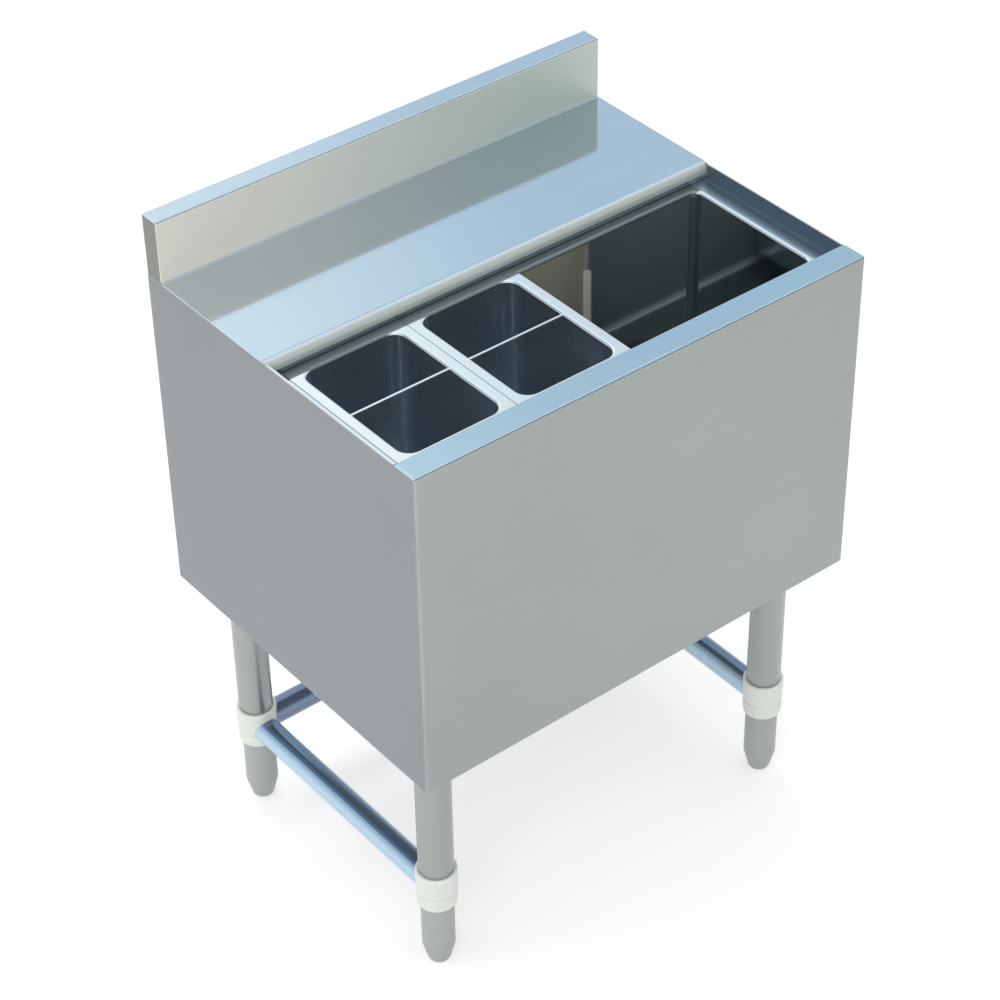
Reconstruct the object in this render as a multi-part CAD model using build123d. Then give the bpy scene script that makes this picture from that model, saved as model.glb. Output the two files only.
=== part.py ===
from build123d import *
import os

# Underbar ice bin on four legs: an insulated tub let into a sheet-metal cabinet, two lift-out
# twin bottle wells hung on the tub's ledge, a rear deck with a backsplash, and adjustable feet.
# Millimetres. X runs left to right, Y front to back, Z up from the floor; the origin is on the
# floor under the middle of the cabinet.

# Cabinet
width = 609.6
depth = 469.9
rim_height = 762.0
body_height = 424.0
splash_height = 76.2
splash_thickness = 27.0
splash_return = 38.0
rim_depth = 33.5
recess_depth = 19.0
panel_sheet = 1.2
panel_bend = 1.5
bottom_flange = 12.0
hem_height = 10.0
hem_gap = 0.3
corner_grind = 1.0
sheet_edge = 1.1
back_return = 15.0
pan_height = 20.0
pan_corner = 4.0
pan_clearance = 0.3
deck_roll = 10.0
fascia_return = 10.0

# Channels under the tub and under the deck
channel_sheet = 1.5
channel_width = 40.0
channel_height = 49.4
channel_brim = 24.0
channel_end_gap = 4.0
stiffener_width = 60.0
stiffener_drop = 25.0
stiffener_brim = 18.0
stiffener_end_gap = 8.0

# Ice tub
tub_sheet = 1.2
side_wall = 29.5
front_wall = 52.0
tub_run = 186.0
rear_ledge = 12.0
tub_corner = 9.5
tub_cove = 5.0
tub_lip = 10.0
tub_roll = 3.0
floor_fall = 8.0
land_size = 92.0
rear_foam = 26.0
floor_foam = 36.0
foam_gap = 0.3

# Drain
drain_side_distance = 160.0
sump_radius = 34.0
sump_flange = 6.0
sump_depth = 14.0
sump_sheet = 1.5
seat_depth = 5.0
seat_width = 4.0
nipple_radius = 16.7
nipple_wall = 3.4
nipple_drop = 45.0
nipple_chamfer = 1.2
nipple_body_radius = 18.2
nipple_shoulder = 5.0
strainer_sheet = 1.2
strainer_gap = 0.5
strainer_hole = 2.5
strainer_rings = 2
strainer_ring_radius = 12.0
strainer_ring_spacing = 9.5
strainer_holes_per_ring = 6
knob_radius = 5.0
knob_height = 12.0
knob_edge = 1.6
grommet_hole = 25.0
grommet_flange = 5.0
grommet_lip = 3.0
grommet_below = 3.0
grommet_gap = 0.2

# Twin bottle wells
well_width = 124.5
well_flange = 13.5
well_divider = 2.6
well_sheet = 1.0
well_above_floor = 22.0
well_corner = 16.0
well_cove = 6.0
well_roll = 3.0
well_side_gap = 1.0
well_end_gap = 2.0
well_pitch_gap = 0.7
flange_corner = 6.0
weep_radius = 4.0
weep_spacing = 40.0

# Legs, sockets and fittings
leg_radius = 20.65
leg_wall = 1.5
leg_inset_side = 53.5
leg_inset_front = 62.0
leg_inset_back = 54.0
leg_gap = 0.1
socket_plate = 80.0
socket_thickness = 3.0
socket_corner = 8.0
socket_wall = 3.0
socket_height = 45.0
socket_rib = 4.0
bolt_spacing = 60.0
bolt_radius = 4.0
bolt_gap = 0.3
bolt_head_radius = 7.0
bolt_head_height = 5.0
bolt_tip = 3.0
nut_height = 6.0
foot_height = 95.0
foot_radius = 19.5
foot_tip_radius = 12.5
foot_tip_edge = 6.0
foot_taper = 27.0
foot_shoulder = 18.0
foot_edge = 2.0
stem_radius = 8.0
stem_length = 45.0
stem_gap = 0.05
plug_height = 32.0
plug_chamfer = 1.5
fitting_height = 50.0
fitting_top_radius = 24.6
fitting_bottom_radius = 23.2
fitting_edge = 1.5
fitting_lip = 2.0
fitting_lip_radius = 12.0
groove_height = 18.0
groove_width = 2.5
groove_depth = 0.8

# Rails
rail_radius = 15.9
rail_wall = 1.5
rail_height = 118.0
cope_gap = 0.2
spigot_length = 26.0
spigot_gap = 0.2
spigot_chamfer = 1.0
screw_radius = 2.5
screw_head_radius = 4.5
screw_head_height = 2.4
screw_head_edge = 1.2
screw_end_distance = 14.0
grub_radius = 3.0
grub_length = 6.0
grub_height_in_fitting = 12.0
grub_height_in_socket = 11.0
grub_hex_radius = 1.5
grub_hex_depth = 3.0
grub_gap = 0.1

# How far a cutting shape runs past what it cuts
cut_margin = 1.0

# Places worked out from the sizes above
left = -width / 2
right = width / 2
front = -depth / 2
back = depth / 2
underside = rim_height - body_height
ledge = rim_height - recess_depth
splash_top = rim_height + splash_height
splash_front = back - splash_thickness
rim_back = front + rim_depth
tub_front = front + front_wall
tub_back = tub_front + tub_run
tub_middle = (tub_front + tub_back) / 2
tub_width = width - 2 * side_wall
deck_front = tub_back + rear_ledge
pan_bottom = underside + panel_sheet
pan_top = pan_bottom + panel_sheet
foam_bottom = pan_top + channel_height
foam_back = tub_back + rear_foam
land = foam_bottom + floor_foam + tub_sheet
tub_floor = land + floor_fall
drain_x = right - drain_side_distance
nipple_end = underside - nipple_drop
sump_floor = land - sump_depth
well_front = tub_front + well_end_gap + well_sheet
well_back = tub_back - well_end_gap - well_sheet
well_run = well_back - well_front
well_floor = tub_floor + well_above_floor + well_sheet
well_pitch = well_width + 2 * well_flange + well_pitch_gap
first_well_x = left + side_wall + well_side_gap + well_sheet + well_width / 2
leg_x = width / 2 - leg_inset_side
leg_front = front + leg_inset_front
leg_back = back - leg_inset_back
leg_bottom = foot_height + fitting_lip
socket_top = pan_bottom
leg_top = socket_top - socket_thickness
tube_bore = leg_radius - leg_wall
groove_bottom = foot_height + groove_height
corners = {
    "front_left": (-leg_x, leg_front),
    "front_right": (leg_x, leg_front),
    "rear_left": (-leg_x, leg_back),
    "rear_right": (leg_x, leg_back),
}


def write(name, shape):
    """Write one sub-part as parts/NAME.step."""
    export_step(shape, f"parts/{name}.step")


def block(x0, x1, y0, y1, z0, z1):
    """Box between two corners."""
    size = (x1 - x0, y1 - y0, z1 - z0)
    middle = ((x0 + x1) / 2, (y0 + y1) / 2, (z0 + z1) / 2)
    return Pos(*middle) * Box(*size)


def folded(points, plane, start, length, sheet=panel_sheet, bend=panel_bend, rolls=None):
    """Sheet bent along points drawn in plane, then run on for length from start.

    The points lie on one face of the sheet, and the metal is on their right-hand side. Every
    bend has the same inner radius, but rolls gives another outer radius to the point it numbers.
    """
    radii = [bend + sheet] * (len(points) - 2)
    for number, radius in (rolls or {}).items():
        radii[number - 1] = radius
    line = FilletPolyline(*points, radius=radii)
    band = offset(line, sheet, side=Side.RIGHT)
    return Pos(plane.z_dir * start) * extrude(make_face(plane * band), length, dir=plane.z_dir)


def ring(outer, inner, z0, z1):
    """Upright tube about the Z axis."""
    tall = z1 - z0
    low = (Align.CENTER, Align.CENTER, Align.MIN)
    return Pos(0, 0, z0) * (Cylinder(outer, tall, align=low) - Cylinder(inner, tall, align=low))


def rod(radius, z0, z1):
    """Upright round bar about the Z axis."""
    return Pos(0, 0, z0) * Cylinder(radius, z1 - z0, align=(Align.CENTER, Align.CENTER, Align.MIN))


def turned(points):
    """Solid turned about the Z axis from points of (radius, height)."""
    return revolve(make_face(Plane.XZ * Polyline(*points, close=True)), Axis.Z)


def side_strips(y0, y1, z0, z1):
    """The thickness of both side panels, to clear a sheet that runs between them."""
    near = block(left - panel_sheet, left + panel_sheet, y0, y1, z0, z1)
    far = block(right - panel_sheet, right + panel_sheet, y0, y1, z0, z1)
    return near + far


def ground_corners():
    """Cabinet outline whose upright front corners are ground round, over the full height."""
    outline = block(left, right, front, back, underside, splash_top)
    upright = outline.edges().filter_by(Axis.Z).group_by(Axis.Y)[0]
    return fillet(upright, corner_grind)


def front_panel():
    """Front with a bottom flange and, at the top, the flat rim and its lip down to the ledge."""
    sheet = folded(
        [
            (front + bottom_flange, underside),
            (front, underside),
            (front, rim_height),
            (rim_back, rim_height),
            (rim_back, ledge),
        ],
        Plane.YZ, left, width,
    )
    under_rim = rim_height - panel_sheet
    sheet -= side_strips(front + panel_sheet, rim_back + panel_sheet, underside - cut_margin, under_rim)
    return sheet & ground_corners()


def side_panel():
    """Left side: flange inward at the bottom and a closed hem along the open recess."""
    sheet = folded(
        [(left + bottom_flange, underside), (left, underside), (left, rim_height)],
        Plane.XZ, -back, back - front - panel_sheet,
    )
    top = rim_height - panel_sheet
    hem_front = rim_back + hem_gap
    hem_back = deck_front - hem_gap
    far = left + bottom_flange + cut_margin
    sheet -= block(left - cut_margin, far, front, hem_front, top, rim_height + cut_margin)
    sheet -= block(left - cut_margin, far, hem_back, back + cut_margin, top, rim_height + cut_margin)
    corner = front + bottom_flange + hem_gap
    flange_top = pan_bottom + panel_bend
    sheet -= block(left + panel_sheet, far, front, corner, underside - cut_margin, flange_top)
    low = rim_height - hem_height
    sheet -= block(left - cut_margin, far, hem_front, hem_back, low, rim_height + cut_margin)
    hem = block(left, left + 2 * panel_sheet, hem_front, hem_back, low, rim_height)
    return sheet + fillet(hem.edges().filter_by(Axis.Y).group_by(Axis.Z)[-1], sheet_edge)


def deck_and_splash():
    """One sheet: return, fascia, rolled edge, rear deck, backsplash, its top and its return."""
    sheet = folded(
        [
            (deck_front + fascia_return, ledge),
            (deck_front, ledge),
            (deck_front, rim_height),
            (splash_front, rim_height),
            (splash_front, splash_top),
            (back, splash_top),
            (back, splash_top - splash_return),
        ],
        Plane.YZ, left, width, rolls={2: deck_roll},
    )
    under_deck = rim_height - panel_sheet
    return sheet - side_strips(deck_front - cut_margin, splash_front, ledge - cut_margin, under_deck)


def splash_end_cap():
    """Plate that closes the left end of the backsplash, between its front, top and back."""
    low = rim_height - panel_sheet
    plate = block(
        left, left + panel_sheet,
        splash_front + panel_sheet, back - panel_sheet,
        low, splash_top - panel_sheet,
    )
    return fillet(plate.edges().filter_by(Axis.X).group_by(Axis.Z)[-1], panel_bend)


def back_panel():
    """Back with a return along each side, from the side panels' bottom bends upward."""
    x0 = left + panel_sheet
    x1 = right - panel_sheet
    low = pan_bottom + panel_bend
    top = splash_top - splash_return - hem_gap
    return folded(
        [(x0, back - back_return), (x0, back), (x1, back), (x1, back - back_return)],
        Plane.XY, low, top - low,
    )


def bottom_pan():
    """Shallow pan that closes the cabinet below, with holes for the drain and the leg bolts."""
    inset = 2 * panel_sheet + pan_clearance
    pan = block(
        left + inset, right - inset,
        front + panel_sheet + pan_clearance, back - panel_sheet - pan_clearance,
        pan_bottom, pan_bottom + pan_height,
    )
    pan = fillet(pan.edges().filter_by(Axis.Z), pan_corner)
    pan = fillet(pan.edges().group_by(Axis.Z)[0], panel_bend + panel_sheet)
    pan = offset(pan, -panel_sheet, openings=pan.faces().sort_by(Axis.Z)[-1])
    pan -= Pos(drain_x, tub_middle, 0) * rod(grommet_hole, pan_bottom - cut_margin, pan_top + cut_margin)
    return pan - bolt_holes(pan_bottom - cut_margin, pan_top + cut_margin)


def bolt_places():
    """Centres of the bolts that hold the four leg sockets."""
    half = bolt_spacing / 2
    return [
        (x + side, y + end)
        for x, y in corners.values()
        for side in (-half, half)
        for end in (-half, half)
    ]


def bolt_holes(z0, z1):
    """Bolt clearance holes through everything between two heights."""
    hole = rod(bolt_radius + bolt_gap, z0, z1)
    return Compound([Pos(x, y, 0) * hole for x, y in bolt_places()])


def bottom_channel():
    """Left channel from front to back: it carries the tub's foam and stiffens the pan."""
    half = channel_width / 2
    brim = half + channel_brim
    low = pan_top + channel_sheet
    y0 = front + 2 * panel_sheet + channel_end_gap
    y1 = back - 2 * panel_sheet - channel_end_gap
    channel = folded(
        [
            (-leg_x - brim, low),
            (-leg_x - half, low),
            (-leg_x - half, foam_bottom),
            (-leg_x + half, foam_bottom),
            (-leg_x + half, low),
            (-leg_x + brim, low),
        ],
        Plane.XZ, -y1, y1 - y0, channel_sheet,
    )
    return channel - bolt_holes(pan_top - cut_margin, low + cut_margin)


def deck_stiffener():
    """Channel across the underside of the deck."""
    middle = (deck_front + splash_front) / 2
    half = stiffener_width / 2
    brim = half + stiffener_brim
    top = rim_height - panel_sheet
    x0 = left + panel_sheet + stiffener_end_gap
    x1 = right - panel_sheet - stiffener_end_gap
    return folded(
        [
            (middle - brim, top),
            (middle - half, top),
            (middle - half, top - stiffener_drop),
            (middle + half, top - stiffener_drop),
            (middle + half, top),
            (middle + brim, top),
        ],
        Plane.YZ, x0, x1 - x0, channel_sheet,
    )


def tub_form(grow, top):
    """Form of the tub: inside with grow 0, outside with the sheet's thickness, up to top."""
    tall = top - tub_floor + grow
    form = Pos(0, tub_middle, top) * Box(
        tub_width + 2 * grow, tub_run + 2 * grow, tall,
        align=(Align.CENTER, Align.CENTER, Align.MAX),
    )
    form = fillet(form.edges().filter_by(Axis.Z), tub_corner + grow)
    form = fillet(form.edges().group_by(Axis.Z)[0], tub_cove + grow)
    floor = Plane(origin=(0, tub_middle, tub_floor - grow))
    low = Plane(origin=(drain_x, tub_middle, land - grow))
    wide = floor * Rectangle(tub_width - 2 * tub_cove, tub_run - 2 * tub_cove)
    narrow = low * Rectangle(land_size, land_size)
    return form + loft([wide, narrow], ruled=True)


def level_ring(body, height, wide, run, middle):
    """Edges of body at one height, near a rectangle that is wide by run about x 0 and y middle."""
    reach = 2 * cut_margin
    return body.edges().filter_by(
        lambda edge: abs(edge.center().Z - height) < cut_margin / 2
        and abs(edge.center().X) < wide / 2 + reach
        and abs(edge.center().Y - middle) < run / 2 + reach
    )


def ice_tub():
    """Tub with rounded corners, a floor creased down to the drain, and a ledge all round."""
    x0 = left + panel_sheet
    x1 = right - panel_sheet
    y0 = front + panel_sheet
    flange = block(x0, x1, y0, foam_back + tub_sheet, ledge - tub_lip, ledge)
    flange -= block(
        x0 + tub_sheet, x1 - tub_sheet, y0 + tub_sheet, foam_back,
        ledge - tub_lip, ledge - tub_sheet,
    )
    tub = flange + tub_form(tub_sheet, ledge)
    tub = fillet(level_ring(tub, ledge - tub_sheet, tub_width, tub_run, tub_middle), tub_roll - tub_sheet)
    tub -= tub_form(0, ledge)
    tub = fillet(level_ring(tub, ledge, tub_width, tub_run, tub_middle), tub_roll)
    drain = rod(sump_radius - sump_sheet, land - tub_sheet - cut_margin, land + cut_margin)
    return tub - Pos(drain_x, tub_middle, 0) * drain


def foam():
    """Foam round the tub, from the ledge down to the bottom channels."""
    inset = panel_sheet + tub_sheet + foam_gap
    top = ledge - tub_roll - foam_gap
    body = block(left + inset, right - inset, front + inset, foam_back - foam_gap, foam_bottom, top)
    body -= tub_form(tub_sheet + foam_gap, top + cut_margin)
    passage = rod(sump_radius + sump_flange + foam_gap, foam_bottom - cut_margin, land)
    return body - Pos(drain_x, tub_middle, 0) * passage


def drain_sump():
    """Cup under the tub's floor, flanged to it, with a seat for the strainer."""
    lip = sump_radius + sump_flange
    under = land - tub_sheet
    wall = sump_radius - sump_sheet
    throat = wall - seat_width
    bore = nipple_radius - nipple_wall
    cup = turned(
        [
            (bore, sump_floor),
            (throat, sump_floor),
            (throat, land - seat_depth),
            (wall, land - seat_depth),
            (wall, under),
            (lip, under),
            (lip, under - sump_sheet),
            (sump_radius, under - sump_sheet),
            (sump_radius, land - seat_depth - sump_sheet),
            (throat + sump_sheet, land - seat_depth - sump_sheet),
            (throat + sump_sheet, sump_floor - sump_sheet),
            (bore, sump_floor - sump_sheet),
        ]
    )
    return Pos(drain_x, tub_middle, 0) * cup


def drain_nipple():
    """Pipe from the sump down through the pan, thinner and chamfered where a hose goes on."""
    bore = nipple_radius - nipple_wall
    shoulder = underside - nipple_shoulder
    pipe = turned(
        [
            (bore, nipple_end),
            (nipple_radius - nipple_chamfer, nipple_end),
            (nipple_radius, nipple_end + nipple_chamfer),
            (nipple_radius, shoulder),
            (nipple_body_radius, shoulder),
            (nipple_body_radius, sump_floor - sump_sheet),
            (bore, sump_floor - sump_sheet),
        ]
    )
    return Pos(drain_x, tub_middle, 0) * pipe


def drain_strainer():
    """Lift-out perforated disc with a knob, resting on the sump's seat."""
    seat = land - seat_depth
    radius = sump_radius - sump_sheet - strainer_gap
    disc = rod(radius, seat, seat + strainer_sheet)
    for ring_number in range(strainer_rings):
        count = strainer_holes_per_ring * (ring_number + 1)
        hole = rod(strainer_hole, seat - cut_margin, seat + strainer_sheet + cut_margin)
        disc -= PolarLocations(strainer_ring_radius + strainer_ring_spacing * ring_number, count) * hole
    knob = rod(knob_radius, seat, seat + knob_height)
    knob = fillet(knob.edges().group_by(Axis.Z)[-1], knob_edge)
    return Pos(drain_x, tub_middle, 0) * (disc + knob)


def drain_grommet():
    """Rubber ring that closes the pan's hole round the nipple."""
    bore = nipple_body_radius + grommet_gap
    hub = grommet_hole - grommet_gap
    lip = grommet_hole + grommet_flange
    low = pan_bottom - grommet_below
    collar = turned(
        [
            (bore, low),
            (hub, low),
            (hub, pan_top),
            (lip, pan_top),
            (lip, pan_top + grommet_lip),
            (bore, pan_top + grommet_lip),
        ]
    )
    return Pos(drain_x, tub_middle, 0) * collar


def well_form(grow, top):
    """Form of the drawn pan: inside with grow 0, outside with the sheet's thickness, up to top."""
    tall = top - well_floor + grow
    form = Pos(0, 0, top) * Box(
        well_width + 2 * grow, well_run + 2 * grow, tall,
        align=(Align.CENTER, Align.CENTER, Align.MAX),
    )
    form = fillet(form.edges().filter_by(Axis.Z), well_corner + grow)
    return fillet(form.edges().group_by(Axis.Z)[0], well_cove + grow)


def twin_well():
    """Deep pan hung by its flange from the tub's ledge, parted by an upright divider."""
    top = ledge + well_sheet
    wide = well_width / 2
    deep = well_run / 2
    plate = block(
        -wide - well_flange, wide + well_flange, -deep - well_flange, deep + well_flange, ledge, top,
    )
    solid = fillet(plate.edges().filter_by(Axis.Z), flange_corner) + well_form(well_sheet, top)
    solid = fillet(level_ring(solid, ledge, well_width, well_run, 0), well_roll - well_sheet)
    divider = solid & block(
        -wide - well_roll, wide + well_roll, -well_divider / 2, well_divider / 2, 0, top,
    )
    body = solid - well_form(0, top)
    body = fillet(level_ring(body, top, well_width, well_run, 0), well_roll) + divider
    weep = rod(weep_radius, well_floor - well_sheet - cut_margin, well_floor + cut_margin)
    for y in (-well_run / 4, well_run / 4):
        for x in (-weep_spacing / 2, weep_spacing / 2):
            body -= Pos(x, y, 0) * weep
    return Pos(0, (well_front + well_back) / 2, 0) * body


def leg_socket():
    """Flanged socket under the pan: a plate, a ring for the leg and four ribs."""
    bore = leg_radius + leg_gap
    outer = bore + socket_wall
    low = socket_top - socket_height
    plate = block(
        -socket_plate / 2, socket_plate / 2, -socket_plate / 2, socket_plate / 2,
        leg_top, socket_top,
    )
    plate = fillet(plate.edges().filter_by(Axis.Z), socket_corner)
    body = plate + ring(outer, bore, low, leg_top)
    reach = socket_plate / 2
    rib = make_face(
        Plane.XZ * Polyline(
            (outer - socket_wall / 2, leg_top),
            (reach, leg_top),
            (reach, leg_top - socket_rib),
            (outer - socket_wall / 2, low + socket_rib),
            close=True,
        )
    )
    web = extrude(rib, socket_rib / 2, both=True)
    for turn in range(4):
        body += Rot(0, 0, 90 * turn) * web
    body -= rod(bore, low, leg_top)
    half = bolt_spacing / 2
    hole = rod(bolt_radius + bolt_gap, leg_top - cut_margin, socket_top + cut_margin)
    for x in (-half, half):
        for y in (-half, half):
            body -= Pos(x, y, 0) * hole
    grub = grub_bore(bore - cut_margin, outer + socket_rib)
    return body - Pos(0, 0, low + grub_height_in_socket) * grub


def grub_bore(start, end):
    """Radial hole along X for a grub screw."""
    bore = Cylinder(grub_radius + grub_gap, end - start, align=(Align.CENTER, Align.CENTER, Align.MIN))
    return Pos(start, 0, 0) * (Rot(0, 90, 0) * bore)


def grub_screw(start):
    """Grub screw along X with its inner end on the leg."""
    body = Cylinder(grub_radius, grub_length, align=(Align.CENTER, Align.CENTER, Align.MIN))
    drive = extrude(RegularPolygon(grub_hex_radius, 6), grub_hex_depth + cut_margin)
    body -= Pos(0, 0, grub_length - grub_hex_depth) * drive
    return Pos(start, 0, 0) * (Rot(0, 90, 0) * body)


def socket_bolts():
    """Hex bolts through the sockets, the pan and the channels."""
    tip = pan_top + channel_sheet + nut_height + bolt_tip
    head = extrude(RegularPolygon(bolt_head_radius, 6), bolt_head_height)
    bolt = Pos(0, 0, leg_top - bolt_head_height) * head + rod(bolt_radius, leg_top, tip)
    return Compound([Pos(x, y, 0) * bolt for x, y in bolt_places()])


def socket_nuts():
    """Hex nuts on the socket bolts, on top of the channels' brims."""
    low = pan_top + channel_sheet
    nut = extrude(RegularPolygon(bolt_head_radius, 6), nut_height)
    nut -= Cylinder(bolt_radius + stem_gap, 3 * nut_height)
    return Compound([Pos(x, y, low) * nut for x, y in bolt_places()])


def grub_turn(name):
    """Turn about Z from +X to where a leg's grub screws are: behind a rear leg, right of a front one."""
    return 90 if name.startswith("rear") else 0


def socket_grubs():
    """One grub screw in each leg socket."""
    height = socket_top - socket_height + grub_height_in_socket
    screws = [
        Pos(x, y, height) * Rot(0, 0, grub_turn(name)) * grub_screw(leg_radius)
        for name, (x, y) in corners.items()
    ]
    return Compound(screws)


def leg():
    """Round leg tube from the lip of its fitting up into its socket."""
    return ring(leg_radius, tube_bore, leg_bottom, leg_top)


def fitting_side(grow=0):
    """Outside of a rail fitting: a drafted sleeve with eased edges."""
    top = foot_height + fitting_height
    sleeve = turned(
        [
            (0, foot_height),
            (fitting_bottom_radius + grow, foot_height),
            (fitting_top_radius + grow, top),
            (0, top),
        ]
    )
    return sleeve if grow else fillet(sleeve.edges().filter_by(GeomType.CIRCLE), fitting_edge)


def rail_fitting(spigot_turns, screw_turn):
    """Grooved sleeve round the foot of a leg, with a spigot for each rail and a lip under the tube."""
    outer = fitting_top_radius + cut_margin
    groove = ring(outer, fitting_bottom_radius - groove_depth, groove_bottom, groove_bottom + groove_width)
    body = fitting_side() - groove
    bore = rail_radius - rail_wall - spigot_gap
    for turn in spigot_turns:
        reach = fitting_bottom_radius + spigot_length
        spigot = Cylinder(bore, reach, align=(Align.CENTER, Align.CENTER, Align.MIN))
        spigot = chamfer(spigot.edges().group_by(Axis.Z)[-1], spigot_chamfer)
        body += Pos(0, 0, rail_height) * Rot(0, 0, turn) * (Rot(0, 90, 0) * spigot)
    body -= rod(leg_radius + leg_gap, leg_bottom, foot_height + fitting_height + cut_margin)
    body -= rod(fitting_lip_radius, foot_height - cut_margin, leg_bottom + cut_margin)
    for turn in spigot_turns:
        body -= Rot(0, 0, turn) * rail_screw_hole()
    grub = Rot(0, 0, screw_turn) * grub_bore(leg_radius - cut_margin, fitting_top_radius + cut_margin)
    return body - Pos(0, 0, foot_height + grub_height_in_fitting) * grub


def rail_screw_hole():
    """Upright hole in the underside of a rail and its spigot, at one leg."""
    reach = fitting_bottom_radius + screw_end_distance
    return Pos(reach, 0, 0) * rod(screw_radius, rail_height - rail_radius - cut_margin, rail_height)


def rail_screw():
    """Pan-head screw up through the underside of a rail into its spigot."""
    low = rail_height - rail_radius
    head = rod(screw_head_radius, low - screw_head_height, low)
    head = fillet(head.edges().group_by(Axis.Z)[0], screw_head_edge)
    shank = rod(screw_radius, low, rail_height)
    return Pos(fitting_bottom_radius + screw_end_distance, 0, 0) * (head + shank)


def side_rail():
    """Left rail, coped at both ends to the fittings it meets."""
    run = leg_back - leg_front
    low = (Align.CENTER, Align.CENTER, Align.MIN)
    tube = Cylinder(rail_radius, run, align=low) - Cylinder(rail_radius - rail_wall, run, align=low)
    tube = Pos(-leg_x, leg_front, rail_height) * (Rot(-90, 0, 0) * tube)
    cope = fitting_side(cope_gap)
    for y, turn in ((leg_front, 90), (leg_back, -90)):
        tube -= Pos(-leg_x, y, 0) * cope
        tube -= Pos(-leg_x, y, 0) * Rot(0, 0, turn) * rail_screw_hole()
    return tube


def rear_rail():
    """Rail between the two rear legs, coped at both ends."""
    run = 2 * leg_x
    low = (Align.CENTER, Align.CENTER, Align.MIN)
    tube = Cylinder(rail_radius, run, align=low) - Cylinder(rail_radius - rail_wall, run, align=low)
    tube = Pos(-leg_x, leg_back, rail_height) * (Rot(0, 90, 0) * tube)
    cope = fitting_side(cope_gap)
    for x, turn in ((-leg_x, 0), (leg_x, 180)):
        tube -= Pos(x, leg_back, 0) * cope
        tube -= Pos(x, leg_back, 0) * Rot(0, 0, turn) * rail_screw_hole()
    return tube


spigots = {
    "front_left": (90,),
    "front_right": (90,),
    "rear_left": (-90, 0),
    "rear_right": (-90, 180),
}


def rail_screws():
    """One screw at each end of the three rails."""
    screws = [
        Pos(*corners[name], 0) * Rot(0, 0, turn) * rail_screw()
        for name, turns in spigots.items()
        for turn in turns
    ]
    return Compound(screws)


def fitting_grubs():
    """One grub screw in each rail fitting."""
    height = foot_height + grub_height_in_fitting
    screws = [
        Pos(x, y, height) * Rot(0, 0, grub_turn(name)) * grub_screw(leg_radius)
        for name, (x, y) in corners.items()
    ]
    return Compound(screws)


def foot_plug():
    """Threaded plug pressed into the bottom of a leg."""
    plug = ring(tube_bore, stem_radius + stem_gap, leg_bottom, leg_bottom + plug_height)
    return chamfer(plug.edges().group_by(Axis.Z)[-1].sort_by(SortBy.RADIUS)[-1], plug_chamfer)


def bullet_foot():
    """Bullet foot with its stem, screwed right up against the fitting's lip."""
    shoulder = foot_height - foot_edge
    stem_top = foot_height + stem_length
    foot = turned(
        [
            (0, 0),
            (foot_tip_radius, 0),
            (foot_radius, foot_taper),
            (foot_radius, shoulder),
            (foot_radius - foot_edge, foot_height),
            (stem_radius, foot_height),
            (stem_radius, stem_top),
            (0, stem_top),
        ]
    )
    rings = foot.edges().filter_by(GeomType.CIRCLE)
    bulge = [edge for edge in rings if abs(edge.center().Z - foot_taper) < foot_edge]
    foot = fillet(bulge, foot_shoulder)
    tip = foot.edges().filter_by(GeomType.CIRCLE).sort_by(Axis.Z)[0]
    return fillet(tip, foot_tip_edge)


os.makedirs("parts", exist_ok=True)

write("front_panel", front_panel())
panel = side_panel()
write("left_side_panel", panel)
write("right_side_panel", mirror(panel, Plane.YZ))
write("deck_and_backsplash", deck_and_splash())
cap = splash_end_cap()
write("left_splash_end_cap", cap)
write("right_splash_end_cap", mirror(cap, Plane.YZ))
write("back_panel", back_panel())
write("bottom_pan", bottom_pan())
channel = bottom_channel()
write("left_bottom_channel", channel)
write("right_bottom_channel", mirror(channel, Plane.YZ))
write("deck_stiffener", deck_stiffener())
write("ice_tub", ice_tub())
write("foam_insulation", foam())
write("drain_sump", drain_sump())
write("drain_nipple", drain_nipple())
write("drain_strainer", drain_strainer())
write("drain_grommet", drain_grommet())
well = twin_well()
for number, name in enumerate(("left_twin_well", "middle_twin_well")):
    write(name, Pos(first_well_x + number * well_pitch, 0, 0) * well)
socket = leg_socket()
tube = leg()
plug = foot_plug()
foot = bullet_foot()
for name, (x, y) in corners.items():
    turn = grub_turn(name)
    write(f"{name}_leg_socket", Pos(x, y, 0) * Rot(0, 0, turn) * socket)
    write(f"{name}_leg", Pos(x, y, 0) * tube)
    write(f"{name}_rail_fitting", Pos(x, y, 0) * rail_fitting(spigots[name], turn))
    write(f"{name}_foot_plug", Pos(x, y, 0) * plug)
    write(f"{name}_foot", Pos(x, y, 0) * foot)
rail = side_rail()
write("left_rail", rail)
write("right_rail", mirror(rail, Plane.YZ))
write("rear_rail", rear_rail())
write("socket_bolts", socket_bolts())
write("socket_nuts", socket_nuts())
write("socket_grub_screws", socket_grubs())
write("fitting_grub_screws", fitting_grubs())
write("rail_screws", rail_screws())
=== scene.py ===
# %% [markdown]
# # An underbar ice bin, dressed in steel
# The object is a sheet-metal cabinet that stands behind a bar. A deep tub holds ice, two inserts
# hold bottles in the ice water, a deck at the back carries glasses, and four legs on bullet feet
# hold it off the floor. The solids of every piece are already made at their real size, so this
# script gives them their finishes, adds the fine pieces that are better drawn as surfaces, and
# lights the whole.

# %% The frame: every solid at its place, in metres
import math

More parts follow.
